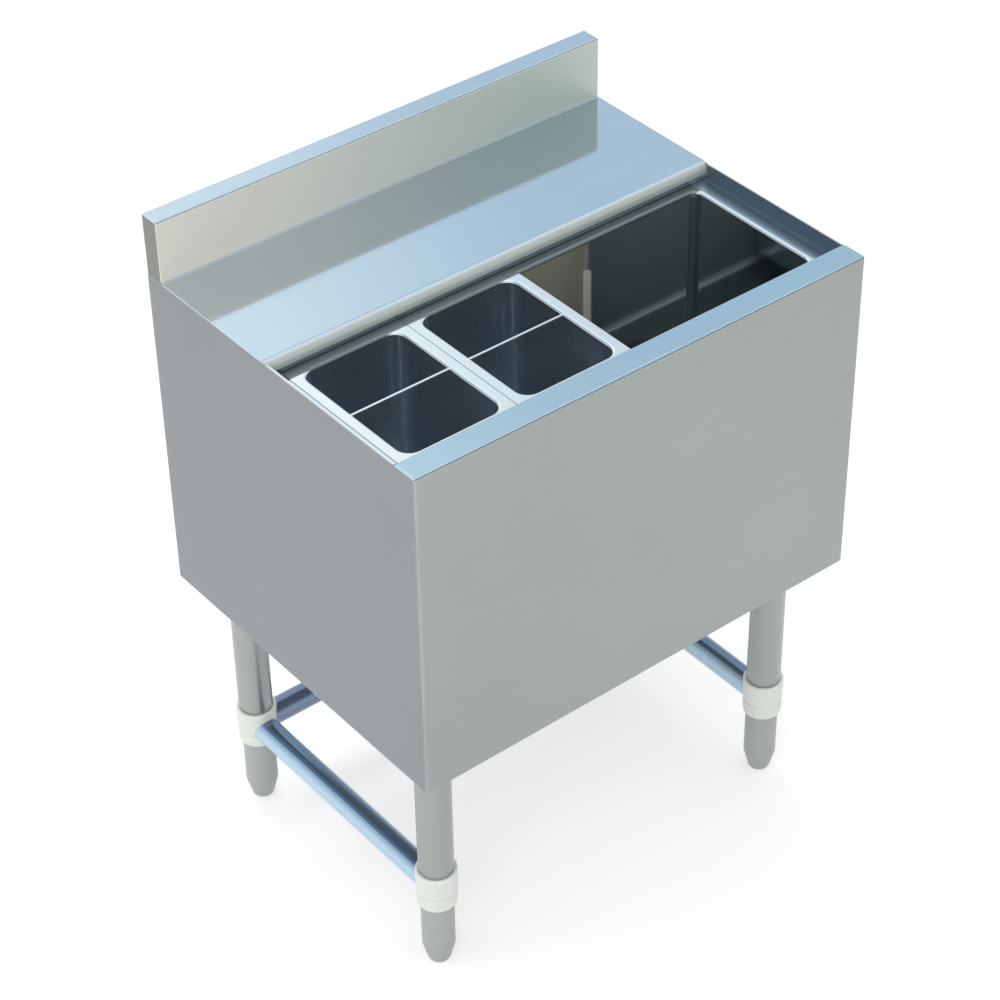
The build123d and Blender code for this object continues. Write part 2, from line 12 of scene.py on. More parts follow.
import bpy
import numpy as np
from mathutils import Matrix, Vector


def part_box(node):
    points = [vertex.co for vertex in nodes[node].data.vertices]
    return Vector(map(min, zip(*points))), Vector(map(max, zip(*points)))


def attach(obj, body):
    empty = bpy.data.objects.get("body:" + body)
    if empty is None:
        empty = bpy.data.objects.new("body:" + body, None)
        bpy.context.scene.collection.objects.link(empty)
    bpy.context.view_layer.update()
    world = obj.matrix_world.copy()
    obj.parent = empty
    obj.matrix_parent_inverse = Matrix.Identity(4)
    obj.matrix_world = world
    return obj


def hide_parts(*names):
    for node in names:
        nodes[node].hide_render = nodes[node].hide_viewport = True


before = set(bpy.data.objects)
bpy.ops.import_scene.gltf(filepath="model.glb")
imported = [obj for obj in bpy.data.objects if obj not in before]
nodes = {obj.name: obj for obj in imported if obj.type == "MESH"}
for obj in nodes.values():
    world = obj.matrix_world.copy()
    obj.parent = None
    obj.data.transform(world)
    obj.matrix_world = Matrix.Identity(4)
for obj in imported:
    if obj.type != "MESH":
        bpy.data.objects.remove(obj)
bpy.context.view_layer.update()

# %% [markdown]
# ## Camera
# The picture was taken from the front left and from above. The vanishing points of the cabinet's
# edges give the turn, the tilt and the focal length, and the cabinet's real size then gives the
# distance. A camera looks along its own -Z, so its matrix is built from the right, up and back
# directions instead of from three angles that are hard to read.

# %% Camera
camera_place = np.array([-1.5829, -1.9917, 2.4535])
camera_turn = math.radians(38.22)
camera_tilt = math.radians(38.35)
camera_roll = math.radians(-0.98)
camera_lens = 102.19
sensor = 36.0


def unit(vector):
    """vector / |vector|."""
    return np.asarray(vector, float) / np.linalg.norm(vector)


def look_matrix(place, turn, tilt, roll):
    """Columns right, up, back and place, for a camera turned from +Y towards +X and tilted down.

    forward = (sin turn cos tilt, cos turn cos tilt, -sin tilt), and roll turns right towards up.
    """
    forward = np.array(
        [
            math.sin(turn) * math.cos(tilt),
            math.cos(turn) * math.cos(tilt),
            -math.sin(tilt),
        ]
    )
    level = np.array([math.cos(turn), -math.sin(turn), 0.0])
    upright = np.cross(level, forward)
    right = math.cos(roll) * level + math.sin(roll) * upright
    matrix = np.eye(4)
    matrix[:3, 0] = right
    matrix[:3, 1] = np.cross(right, forward)
    matrix[:3, 2] = -forward
    matrix[:3, 3] = place
    return matrix


camera_data = bpy.data.cameras.new("view")
camera_data.lens = camera_lens
camera_data.sensor_width = sensor
camera = bpy.data.objects.new("view", camera_data)
bpy.context.scene.collection.objects.link(camera)
camera.matrix_world = look_matrix(camera_place, camera_turn, camera_tilt, camera_roll).T.tolist()
bpy.context.scene.camera = camera
print("camera at", camera_place, "with a lens of", camera_lens, "mm")

# %% [markdown]
# ## Floor, sky and lamps
# Bare steel has hardly any colour of its own: it shows what stands round it. So the room matters
# as much as the metal. A flat photograph card would do for the picture, but every other side of
# the cabinet would then mirror nothing. Here the floor is pale and plain, the room is white up to
# well above the horizon, and over it stands a soft pale sky with a few wide patches, as panels and
# walls make in a studio. Camera, mirror and glass rays all meet that same room. Rays that light
# matt things meet one even grey-white, so that a colour looks as it is written.

# %% Floor
floor_reach = 9.0
floor_hole = 0.001
floor_rings = 48


def surface(name, points, wrap_u=False, wrap_v=False, caps=False):
    """Mesh of a grid of points, shape (rows, columns, 3), as quads.

    Quad (i, j) joins points (i, j), (i, j+1), (i+1, j+1), (i+1, j), where wrapping joins the
    last row or column to the first. With caps, a fan of triangles round a middle point closes the
    first row, facing back along the rows, and another closes the last row, facing on.
    """
    rows, columns = points.shape[:2]
    index = np.arange(rows * columns).reshape(rows, columns)
    if wrap_u:
        index = np.concatenate([index, index[:1]])
    if wrap_v:
        index = np.concatenate([index, index[:, :1]], axis=1)
    quads = np.stack([index[:-1, :-1], index[:-1, 1:], index[1:, 1:], index[1:, :-1]], axis=-1)
    faces = quads.reshape(-1, 4).tolist()
    vertices = points.reshape(-1, 3)
    if caps:
        first, last = index[0], index[-1]
        near, far = np.full(columns, rows * columns), np.full(columns, rows * columns + 1)
        faces += np.stack([first[1:], first[:-1], near], axis=1).tolist()
        faces += np.stack([last[:-1], last[1:], far], axis=1).tolist()
        vertices = np.concatenate([vertices, [points[0].mean(axis=0), points[-1].mean(axis=0)]])
    mesh = bpy.data.meshes.new(name)
    mesh.from_pydata(vertices.tolist(), [], faces)
    mesh.update()
    piece = bpy.data.objects.new(name, mesh)
    bpy.context.scene.collection.objects.link(piece)
    return piece


radius = np.linspace(floor_reach, floor_hole, floor_rings)[:, None]
angle = np.linspace(0, 2 * math.pi, floor_rings, endpoint=False)[None, :]
disc = np.stack([radius * np.cos(angle), radius * np.sin(angle), 0 * radius * angle], axis=-1)
floor = surface("floor", disc, wrap_v=True)
print("floor", floor_reach, "m across each way")

# %% Colours are shown as they are written
bpy.context.scene.view_settings.view_transform = "Standard"
print("colours are shown by", bpy.context.scene.view_settings.view_transform)

# %% A short way to write node trees


def feed(tree, socket, value):
    """Link a socket to another node's output, or give it a plain value."""
    if isinstance(value, bpy.types.NodeSocket):
        tree.links.new(value, socket)
    else:
        socket.default_value = value


def add(tree, kind, **values):
    """New node of a kind, with its properties set by name and its sockets by inputs={...}."""
    node = tree.nodes.new(kind)
    inputs = values.pop("inputs", {})
    for key, value in values.items():
        setattr(node, key, value)
    for key, value in inputs.items():
        feed(tree, node.inputs[key], value)
    return node


def maths(tree, operation, first, second=0.0, third=0.0):
    """Output of one Math node: operation(first, second, third)."""
    node = add(tree, "ShaderNodeMath", operation=operation)
    for socket, value in zip(node.inputs, (first, second, third)):
        feed(tree, socket, value)
    return node.outputs[0]


def smooth(tree, value, low, high):
    """Smooth step: 0 where value is at low or beyond it, 1 at high or beyond it."""
    node = add(
        tree, "ShaderNodeMapRange", interpolation_type="SMOOTHSTEP", clamp=True,
        inputs={"Value": value, "From Min": low, "From Max": high, "To Min": 0.0, "To Max": 1.0},
    )
    return node.outputs["Result"]


def mixed(tree, share, first, second):
    """Number between first and second, by share from 0 to 1."""
    node = add(tree, "ShaderNodeMix", data_type="FLOAT")
    for socket, value in zip(node.inputs[0:1] + node.inputs[2:4], (share, first, second)):
        feed(tree, socket, value)
    return node.outputs[0]


def blend_colour(tree, share, first, second):
    """Colour between first and second, by share from 0 to 1."""
    node = add(tree, "ShaderNodeMix", data_type="RGBA")
    feed(tree, node.inputs[0], share)
    for socket, value in zip(node.inputs[6:8], (first, second)):
        feed(tree, socket, (*value, 1.0) if isinstance(value, tuple) else value)
    return node.outputs[2]


print("node helpers ready")

# %% Directions in the room


def towards(azimuth, elevation):
    """(sin a cos e, cos a cos e, sin e): azimuth a turns from +Y to +X, elevation e goes up."""
    a, e = math.radians(azimuth), math.radians(elevation)
    return (math.sin(a) * math.cos(e), math.cos(a) * math.cos(e), math.sin(e))


def patch(tree, direction, azimuth, elevation, full, gone):
    """Share of a round patch of the sky: 1 within full degrees of its middle, 0 beyond gone."""
    ways = {0: direction, 1: towards(azimuth, elevation)}
    near = add(tree, "ShaderNodeVectorMath", operation="DOT_PRODUCT", inputs=ways)
    low, high = math.cos(math.radians(gone)), math.cos(math.radians(full))
    return smooth(tree, near.outputs["Value"], low, high)


print("straight at the back is", [round(part, 3) for part in towards(0, 0)])

# %% World: a white room under a soft sky with wide patches
white = (1.0, 1.0, 1.0)
room_light = (0.80, 0.81, 0.82)
sky_plain = (0.62, 0.78, 0.92)
sky_starts = 0.17
sky_whole = 0.36
sky_patches = (
    ("panel at the back", 10.0, 40.0, 17.0, 25.0, (0.98, 1.12, 1.18)),
    ("wall at the front right", 142.0, 38.0, 9.0, 22.0, (0.22, 0.24, 0.25)),
    ("wall at the back left", -42.0, 40.0, 14.0, 36.0, (0.30, 0.44, 0.60)),
    ("panel overhead", 90.0, 76.0, 18.0, 34.0, (1.0, 1.08, 1.12)),
    ("panel at the front left", -140.0, 42.0, 14.0, 44.0, (0.80, 0.84, 0.86)),
)

world = bpy.data.worlds.new("room")
bpy.context.scene.world = world
world.use_nodes = True
tree = world.node_tree
tree.nodes.clear()
direction = add(tree, "ShaderNodeTexCoord").outputs["Generated"]
height = add(tree, "ShaderNodeSeparateXYZ", inputs={"Vector": direction}).outputs["Z"]
sky = sky_plain
for label, azimuth, elevation, full, gone, colour in sky_patches:
    share = patch(tree, direction, azimuth, elevation, full, gone)
    sky = blend_colour(tree, share, sky, colour)
room = blend_colour(tree, smooth(tree, height, sky_starts, sky_whole), white, sky)
print("sky with", len(sky_patches), "patches")


# %% Which rays meet that room


def shown_rays(tree):
    """1 for camera, mirror and glass rays, 0 for the rays that light matt things."""
    path = add(tree, "ShaderNodeLightPath").outputs
    mirror_or_glass = maths(tree, "MAXIMUM", path["Is Glossy Ray"], path["Is Transmission Ray"])
    return maths(tree, "MAXIMUM", path["Is Camera Ray"], mirror_or_glass)


seen = blend_colour(tree, shown_rays(tree), room_light, room)
background = add(tree, "ShaderNodeBackground", inputs={"Color": seen, "Strength": 1.0})
add(tree, "ShaderNodeOutputWorld", inputs={"Surface": background.outputs[0]})
print("matt things are lit by", room_light)

# %% Floor finish: pale and matt, lifted to white where it is seen, so that only the shadow shows
floor_colour = (0.66, 0.66, 0.655)
floor_lift = 0.45

plain = bpy.data.materials.new("pale_floor")
plain.use_nodes = True
tree = plain.node_tree
tree.nodes.clear()
matt = add(tree, "ShaderNodeBsdfDiffuse", inputs={"Color": (*floor_colour, 1.0)})
lift = add(tree, "ShaderNodeEmission", inputs={"Color": (1.0, 1.0, 1.0, 1.0)})
feed(tree, lift.inputs["Strength"], maths(tree, "MULTIPLY", shown_rays(tree), floor_lift))
both = add(tree, "ShaderNodeAddShader", inputs={0: matt.outputs[0], 1: lift.outputs[0]})
add(tree, "ShaderNodeOutputMaterial", inputs={"Surface": both.outputs[0]})
floor.data.materials.append(plain)
print("floor colour", floor_colour)

# %% Lamps: three large soft panels, so that nothing is lit by a point
lamp_rows = (
    ("front_panel_lamp", (-1.8, -1.6, 2.3), 1.6, 22.0, (1.0, 0.98, 0.95)),
    ("left_panel_lamp", (-3.0, 0.6, 2.2), 1.8, 12.0, (0.96, 0.98, 1.0)),
    ("top_panel_lamp", (0.15, 1.1, 3.0), 1.4, 24.0, (1.0, 1.0, 1.0)),
)
aim = np.array([0.0, 0.0, 0.45])


def lamp(name, place, side, power, colour):
    """Square area lamp at place, facing the middle of the cabinet."""
    data = bpy.data.lights.new(name, "AREA")
    data.shape = "SQUARE"
    data.size = side
    data.energy = power
    data.color = colour
    made = bpy.data.objects.new(name, data)
    bpy.context.scene.collection.objects.link(made)
    back = unit(np.array(place) - aim)
    right = unit(np.cross([0.0, 0.0, 1.0], back))
    matrix = np.eye(4)
    matrix[:3, 0] = right
    matrix[:3, 1] = np.cross(back, right)
    matrix[:3, 2] = back
    matrix[:3, 3] = place
    made.matrix_world = matrix.T.tolist()
    made.visible_glossy = False
    return made


lamps = [lamp(*row) for row in lamp_rows]
print(len(lamps), "lamps")

# %% [markdown]
# ## How often a mirror may be mirrored
# The tub and the bottle wells are deep boxes of bright steel. A line of sight goes from wall to
# wall a dozen times before it leaves through the opening, and every wall keeps a quarter of the
# light. That is why they look dark and yet show one another. With only a few mirror bounces the
# wells would turn flat black, so the scene allows more.

# %% Light bounces
cycles = bpy.context.scene.cycles
cycles.glossy_bounces = 16
cycles.max_bounces = 20
print("mirror bounces", cycles.glossy_bounces)

# %% [markdown]
# ## Brushed steel
# A brushed sheet is covered in fine scratches that all run one way. They make the surface a little
# rougher and paler in streaks. One group of nodes makes those streaks from noise that is stretched
# along the scratches, and a second makes the faint clouds that handling and wiping leave. A third
# measures how far a point is from the nearest edge of its sheet, because hands, cloths and crates
# rub a sheet bright along its folds. All read the object's own coordinates, so that a finish
# stays put on its sheet.

# %% Groups: streaks, clouds and the gap to an edge
streak_stretch = 0.02
wide_streaks = 0.16
mark_size = 3.1
mark_starts, mark_whole = 0.55, 0.75
fine_noise, wide_noise = (2.0, 0.6), (3.0, 0.55)
slow_noise, quick_noise = (4.0, 0.6), (5.0, 0.7)


def new_group(name, inputs, outputs):
    """Empty shader group with float or vector sockets given as (name, kind)."""
    group = bpy.data.node_groups.new(name, "ShaderNodeTree")
    for side, sockets in (("INPUT", inputs), ("OUTPUT", outputs)):
        for label, kind in sockets:
            group.interface.new_socket(label, in_out=side, socket_type=kind)
    return group, add(group, "NodeGroupInput"), add(group, "NodeGroupOutput")


def noise(tree, place, scale, detail, roughness):
    """Noise from 0 to 1: each step of detail adds a finer one that is roughness times as strong."""
    inputs = {"Vector": place, "Scale": scale, "Detail": detail, "Roughness": roughness}
    return add(tree, "ShaderNodeTexNoise", inputs=inputs).outputs["Fac"]


def make_streaks():
    """Streaks: two noises stretched along X of the vector that comes in, put out from -1 to 1."""
    group, given, out = new_group(
        "streaks",
        [("Vector", "NodeSocketVector"), ("Fineness", "NodeSocketFloat")],
        [("Streak", "NodeSocketFloat"), ("Height", "NodeSocketFloat")],
    )
    along = {0: given.outputs["Vector"], 1: (streak_stretch, 1.0, 1.0)}
    stretched = add(group, "ShaderNodeVectorMath", operation="MULTIPLY", inputs=along).outputs[0]
    fineness = given.outputs["Fineness"]
    fine = noise(group, stretched, fineness, *fine_noise)
    wide = noise(group, stretched, maths(group, "MULTIPLY", fineness, wide_streaks), *wide_noise)
    both = maths(group, "ADD", fine, wide)
    feed(group, out.inputs["Streak"], maths(group, "SUBTRACT", both, 1.0))
    feed(group, out.inputs["Height"], fine)
    return group


def make_clouds():
    """Clouds: slow noise from -1 to 1, and a mask of the sharper marks that a wet cloth leaves."""
    group, given, out = new_group(
        "clouds",
        [("Vector", "NodeSocketVector"), ("Size", "NodeSocketFloat")],
        [("Cloud", "NodeSocketFloat"), ("Marks", "NodeSocketFloat")],
    )
    place, size = given.outputs["Vector"], given.outputs["Size"]
    slow = noise(group, place, size, *slow_noise)
    quick = noise(group, place, maths(group, "MULTIPLY", size, mark_size), *quick_noise)
    feed(group, out.inputs["Cloud"], maths(group, "MULTIPLY_ADD", slow, 2.0, -1.0))
    feed(group, out.inputs["Marks"], smooth(group, quick, mark_starts, mark_whole))
    return group


def make_edge_gap():
    """Edge gap: how far a point on a box is from the box's nearest edge.

    Each axis gives the distance to the nearer of its two faces. On a face one of the three is
    nought, so the middle one of the three, max(min(a, b), min(max(a, b), c)), is the gap.
    """
    group, given, out = new_group(
        "edge_gap",
        [("Vector", "NodeSocketVector"), ("Low", "NodeSocketVector"), ("High", "NodeSocketVector")],
        [("Gap", "NodeSocketFloat")],
    )
    place, low, high = given.outputs["Vector"], given.outputs["Low"], given.outputs["High"]
    above, below = (
        add(group, "ShaderNodeVectorMath", operation="SUBTRACT", inputs=pair).outputs[0]
        for pair in ({0: place, 1: low}, {0: high, 1: place})
    )
    nearer = add(group, "ShaderNodeVectorMath", operation="MINIMUM", inputs={0: above, 1: below})
    a, b, c = add(group, "ShaderNodeSeparateXYZ", inputs={"Vector": nearer.outputs[0]}).outputs
    inner = maths(group, "MINIMUM", maths(group, "MAXIMUM", a, b), c)
    feed(group, out.inputs["Gap"], maths(group, "MAXIMUM", maths(group, "MINIMUM", a, b), inner))
    return group


streaks = make_streaks()
clouds = make_clouds()
edge_gap = make_edge_gap()
print("groups:", streaks.name, clouds.name, edge_gap.name)

# %% Helpers for a sheet's finish
rub_reach, rub_core = 0.005, 0.0005
relief_depth = 0.0003


def use_group(tree, group, vector, **values):
    """Group node fed by a vector, with the rest of its inputs set by name."""
    node = add(tree, "ShaderNodeGroup", node_tree=group, inputs={"Vector": vector})
    for key, value in values.items():
        feed(tree, node.inputs[key.capitalize()], value)
    return node


def tinted(tree, colour, factor):
    """Colour times a factor that changes over the surface."""
    inputs = {0: colour, "Scale": factor}
    return add(tree, "ShaderNodeVectorMath", operation="SCALE", inputs=inputs).outputs[0]


def relief(tree, shader, height, strength):
    """Fine relief of the surface: heights of up to relief_depth, as strong as strength says."""
    inputs = {"Strength": strength, "Distance": relief_depth, "Height": height}
    feed(tree, shader.inputs["Normal"], add(tree, "ShaderNodeBump", inputs=inputs).outputs[0])


def rubbed(tree, place, node, marks):
    """Share of a sheet that is rubbed bright: within rub_reach of its box's edges, broken up."""
    low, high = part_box(node)
    gap = use_group(tree, edge_gap, place, low=low, high=high).outputs["Gap"]
    return maths(tree, "MULTIPLY", smooth(tree, gap, rub_reach, rub_core), marks)


def within(tree, place, limits, fade):
    """Share of a zone: product over its axes of a smooth step up at its low and down at its high.

    The steps are as wide as fade, or as an axis's own third number.
    """
    axes = add(tree, "ShaderNodeSeparateXYZ", inputs={"Vector": place}).outputs
    share = 1.0
    for axis, (low, high, *own) in limits.items():
        soft = own[0] if own else fade
        share = maths(tree, "MULTIPLY", share, smooth(tree, axes[axis], low, low + soft))
        share = maths(tree, "MULTIPLY", share, smooth(tree, axes[axis], high, high - soft))
    return share


print("a rubbed edge is", rub_reach * 1000, "mm wide")

# %% One maker for every steel sheet
streak_fineness = 900.0
cloud_size = 5.0
rough_by_streak = 0.05
rough_by_marks = 0.04
rub_tone = 0.12
rub_polish = 0.08
rub_starts, rub_whole = -0.5, 0.5
least_rough = 0.03
along_y = (0, 0, math.radians(90))
along_z = (0, math.radians(90), 0)


def steel(
    name, colour, rough, metallic=1.0, turn=(0, 0, 0),
    streak=0.05, cloud=0.05, bump=0.02, node=None, zones=(),
):
    """Brushed sheet: colour x (1 + streaks + clouds + rubbed edges), and roughness that follows.

    turn lays the streaks: they run along X before it. Each zone gives another finish between its
    limits along some axes, as on a polished rim.
    """
    material = bpy.data.materials.new(name)
    material.use_nodes = True
    tree = material.node_tree
    shader = tree.nodes["Principled BSDF"]
    place = add(tree, "ShaderNodeTexCoord").outputs["Object"]
    turned = add(tree, "ShaderNodeMapping", inputs={"Vector": place, "Rotation": turn}).outputs[0]
    lines = use_group(tree, streaks, turned, fineness=streak_fineness)
    stains = use_group(tree, clouds, place, size=cloud_size)
    tone = maths(tree, "MULTIPLY_ADD", lines.outputs["Streak"], streak, 1.0)
    tone = maths(tree, "MULTIPLY_ADD", stains.outputs["Cloud"], cloud, tone)
    worn = maths(tree, "MULTIPLY_ADD", lines.outputs["Streak"], rough_by_streak, rough)
    worn = maths(tree, "MULTIPLY_ADD", stains.outputs["Marks"], rough_by_marks, worn)
    for limits, fade, zone_colour, zone_rough, zone_metallic in zones:
        share = within(tree, place, limits, fade)
        colour = blend_colour(tree, share, colour, zone_colour)
        worn = mixed(tree, share, worn, zone_rough)
        metallic = mixed(tree, share, metallic, zone_metallic)
    feed(tree, shader.inputs["Metallic"], metallic)
    if node is not None:
        broken_up = smooth(tree, stains.outputs["Cloud"], rub_starts, rub_whole)
        bright = rubbed(tree, place, node, broken_up)
        tone = maths(tree, "MULTIPLY_ADD", bright, rub_tone, tone)
        worn = maths(tree, "MULTIPLY_ADD", bright, -rub_polish, worn)
    feed(tree, shader.inputs["Base Color"], tinted(tree, colour, tone))
    feed(tree, shader.inputs["Roughness"], maths(tree, "MAXIMUM", worn, least_rough))
    relief(tree, shader, lines.outputs["Height"], bump)
    return material


print("no steel is smoother than", least_rough)

# %% [markdown]
# ## A finish for each sheet
# The panels are brushed and the rim is polished once more by every cloth that wipes it, while the
# rim's paler blue colour is painted sky reflection. The top hems of the side panels carry a
# near-white painted highlight, and the left side panel is painted darker than the right as shade.
# The deck is the brightest sheet, almost a mirror, and its pale blue tint is painted sky
# reflection.
# The backsplash on the same sheet is dull, because it is brushed coarsely after folding, and
# towards its left end it is painted warmer and lighter as light. The wells are drawn and the tub is
# welded, both from bright sheet, and the flanges of the wells are polished white. So some sheets
# have more than one finish.
# A second material would need faces cut along the change, so a finish instead has zones: each is a
# box in the sheet's own coordinates, with soft sides, and inside it another colour and polish
# count.

# %% Places where a finish changes, read from the solids
rim_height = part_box("front_panel")[1].z
splash_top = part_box("deck_and_backsplash")[1].z
deck_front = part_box("deck_and_backsplash")[0].y
ledge_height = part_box("left_twin_well")[1].z
print("rim", round(rim_height, 4), "ledge", round(ledge_height, 4), "top", round(splash_top, 4))

# %% A zone: where one sheet has another finish
below_all, above_all = -9.0, 9.0
soft_edge, sharp_edge = 0.002, 0.001


def zone(colour, rough, metallic, edge=soft_edge, **limits):
    """Limits along X, Y or Z, how wide their edge is, and the finish between them."""
    return limits, edge, colour, rough, metallic


print("a zone fades over", soft_edge * 1000, "mm, or", sharp_edge * 1000, "mm on a fold")

# %% Zones of the outer sheets
above_deck, below_top = 0.0005, 0.0008
roll_depth, roll_skin = 0.0135, 0.0004
rim_skin, hem_skin = 0.0015, 0.0016
lit_end, lit_fade = 0.24, 0.54
splash_heights = (rim_height + above_deck, splash_top - below_top)
roll_heights = (rim_height - roll_depth, rim_height - roll_skin)
lit_run = (below_all, lit_end, lit_fade)
splash_zone = zone((0.557, 0.632, 0.577), 0.50, 0.30, Z=splash_heights)
# Towards the backsplash's left end, up to lit_end and fading over lit_fade, its colour is painted
# warmer and lighter as painted light.
splash_left_painted_light_zone = zone((0.87, 0.83, 0.74), 0.50, 0.30, Z=splash_heights, X=lit_run)
roll_zone = zone((0.50, 0.55, 0.52), 0.42, 0.25, Z=roll_heights)
# The rim zone is partly real polish, with less roughness, and partly painted sky reflection: its
# colour is paler and bluer than the front panel's.
rim_polish_painted_sky_zone = zone((0.51, 0.62, 0.69), 0.16, 1.0, sharp_edge, Z=(rim_height - rim_skin, above_all))
# The hem zone is a painted highlight: the top edge of each side panel is near white against its
# grey sheet.
hem_painted_highlight_zone = zone((0.90, 0.91, 0.91), 0.16, 0.90, sharp_edge, Z=(rim_height - hem_skin, above_all))
print("the roll of the deck is brushed down to", round(rim_height - roll_depth, 4))

# %% [markdown]
# ## The tub, wall by wall
# The tub's right wall and its rear wall are mirrors, and most of what is seen in the open bin is in
# them: the upright light line in the rear wall is the front corner, and the slanting light line is
# the cove where the front wall meets the floor. For a mirror to show something, it has to be there,
# so the front wall is pale and dull, and its corner and its cove carry a painted highlight, a
# near-white matt strip. The right wall's dark blue and the right ledge's blue are painted
# reflection, and the tub's floor is painted darker as shade. The rear right corner, which wraps
# round from wall to wall, is painted dark as shade over its highlight. The rear flange of the tub
# and of the wells lies under the overhang of the deck and is painted dark there as shade.

# %% Where the tub's walls, corners and coves are
side_wall, front_wall, tub_run = 0.0295, 0.052, 0.186
tub_corner, tub_cove, floor_rise = 0.0095, 0.005, 0.011
tub_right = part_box("front_panel")[1].x - side_wall
tub_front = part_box("front_panel")[0].y + front_wall
tub_back = tub_front + tub_run
tub_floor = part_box("ice_tub")[0].z + floor_rise
wall_skin, flange_skin, ledge_skin = 0.003, 0.003, 0.004
mouth, wall_mouth = 0.006, 0.002
painted_shade_run = 0.0165
in_tub = (below_all, ledge_height - mouth)
print("the tub ends at", round(tub_right, 4), "right and", round(tub_floor, 4), "down")

# %% Zones of flanges and ledge, shared by tub and wells
flange_zone = zone(
    (0.86, 0.86, 0.84), 0.10, 0.92, Z=(ledge_height - flange_skin, above_all)
)
# The rear flanges under the deck's overhang are painted dark, dull grey as painted shade.
flange_painted_shade_zone = zone(
    (0.26, 0.29, 0.29), 0.34, 0.95,
    Z=(ledge_height - mouth, above_all), Y=(deck_front - painted_shade_run, above_all),
)
# The tub's right ledge is painted blue as painted sky reflection.
ledge_painted_sky_zone = zone(
    (0.46, 0.54, 0.61), 0.22, 0.95,
    Z=(ledge_height - ledge_skin, above_all), X=(tub_right + ledge_skin, above_all),
)
print("the flanges are dull from", round(deck_front - painted_shade_run, 4), "back")

# %% Zones of the tub's walls and floor
# The tub's floor is painted darker than its walls as painted shade.
tub_floor_painted_shade_zone = zone((0.46, 0.45, 0.42), 0.30, 0.9, Z=(below_all, tub_floor + tub_cove))
# The right wall is a near mirror painted dark blue: a painted reflection.
right_wall_painted_reflection_zone = zone(
    (0.27, 0.38, 0.50), 0.05, 0.98,
    X=(tub_right - wall_skin, above_all), Z=(below_all, ledge_height - wall_mouth),
)
front_wall_zone = zone(
    (0.385, 0.43, 0.405), 0.50, 0.1, Y=(below_all, tub_front + wall_skin), Z=in_tub
)
# The rear right corner is painted dark, dull grey as painted shade, over the highlight it would
# show.
rear_corner_painted_shade_zone = zone(
    (0.24, 0.28, 0.30), 0.30, 0.95,
    X=(tub_right - tub_corner, above_all), Y=(tub_back - tub_corner, above_all), Z=in_tub,
)
print("the right wall is a mirror from", round(tub_right - wall_skin, 4))

# %% Zones of the painted highlights, at the front corner and along the front cove
# These zones are painted highlights: near-white matt strips that the mirrors show as light lines.
corner_share, cove_share, cove_rise = 0.8, 0.7, 1.6
highlight_drop = 0.2
corner_painted_highlight_zone = zone(
    (0.92, 0.98, 1.0), 0.45, 0.0, sharp_edge,
    X=(tub_right - corner_share * tub_corner, above_all),
    Y=(below_all, tub_front + corner_share * tub_corner),
    Z=(below_all, ledge_height - highlight_drop),
)
cove_painted_highlight_zone = zone(
    (1.0, 0.97, 0.92), 0.45, 0.0, sharp_edge,
    Y=(below_all, tub_front + cove_share * tub_cove),
    Z=(below_all, tub_floor + cove_rise * tub_cove),
)
tub_zones = [
    flange_zone, flange_painted_shade_zone, ledge_painted_sky_zone, tub_floor_painted_shade_zone, right_wall_painted_reflection_zone, front_wall_zone,
    rear_corner_painted_shade_zone, corner_painted_highlight_zone, cove_painted_highlight_zone,
]
print(len(tub_zones), "zones in the tub")

# %% Finishes of the sheets
finishes = {
    "front": steel(
        "front_steel", (0.338, 0.368, 0.359), 0.34, node="front_panel", zones=[rim_polish_painted_sky_zone],
    ),
    # The left side panel's colour is painted darker than the right side panel's, the same steel, as
    # painted shade.
    "left_side": steel(
        "left_side_steel_painted_shade", (0.252, 0.269, 0.285), 0.34, turn=along_y, node="left_side_panel",
        zones=[hem_painted_highlight_zone],
    ),
    "right_side": steel(
        "right_side_steel", (0.29, 0.308, 0.326), 0.34, turn=along_y, node="right_side_panel",
        zones=[hem_painted_highlight_zone],
    ),
    "back": steel("back_steel", (0.33, 0.358, 0.355), 0.36, node="back_panel"),
    # The deck's pale blue tint is painted sky reflection; its low roughness is its real polish.
    "deck": steel(
        "deck_steel", (0.60, 0.665, 0.72), 0.08, streak=0.03, cloud=0.03, bump=0.008,
        node="deck_and_backsplash", zones=[splash_zone, splash_left_painted_light_zone, roll_zone],
    ),
    "cap": steel("cap_steel", (0.22, 0.238, 0.218), 0.36, turn=along_z),
    "tub": steel(
        "tub_steel", (0.98, 0.90, 0.78), 0.03, streak=0.03, cloud=0.02, bump=0.004, metallic=0.98,
        zones=tub_zones,
    ),
    "well": steel(
        "well_steel", (0.74, 0.77, 0.79), 0.11, streak=0.03, cloud=0.02, bump=0.006, metallic=0.98,
        zones=[flange_zone, flange_painted_shade_zone],
    ),
}
print(len(finishes), "sheet finishes")

# %% Finishes of tubes, castings and zinc
finishes["leg"] = steel("leg_steel", (0.36, 0.383, 0.374), 0.34, turn=along_z)
# The rails' blue tint is painted sky reflection, and shaded_zone paints their top dark as painted
# shade.
rail_top, shaded_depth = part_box("left_rail")[1].z, 0.0038
shaded_zone = zone((0.18, 0.25, 0.34), 0.25, 0.9, Z=(rail_top - shaded_depth, above_all))
finishes["rail"] = steel(
    "rail_steel_painted_sky", (0.46, 0.62, 0.75), 0.28, metallic=0.6, turn=along_y, zones=[shaded_zone]
)
# The rear rail is painted dark navy as painted shade: it stands for the shadowed underside it
# mirrors.
finishes["rear_rail"] = steel("rear_rail_steel_painted_shade", (0.20, 0.25, 0.36), 0.24, metallic=0.9)
finishes["bright"] = steel("turned_steel", (0.55, 0.56, 0.56), 0.16)
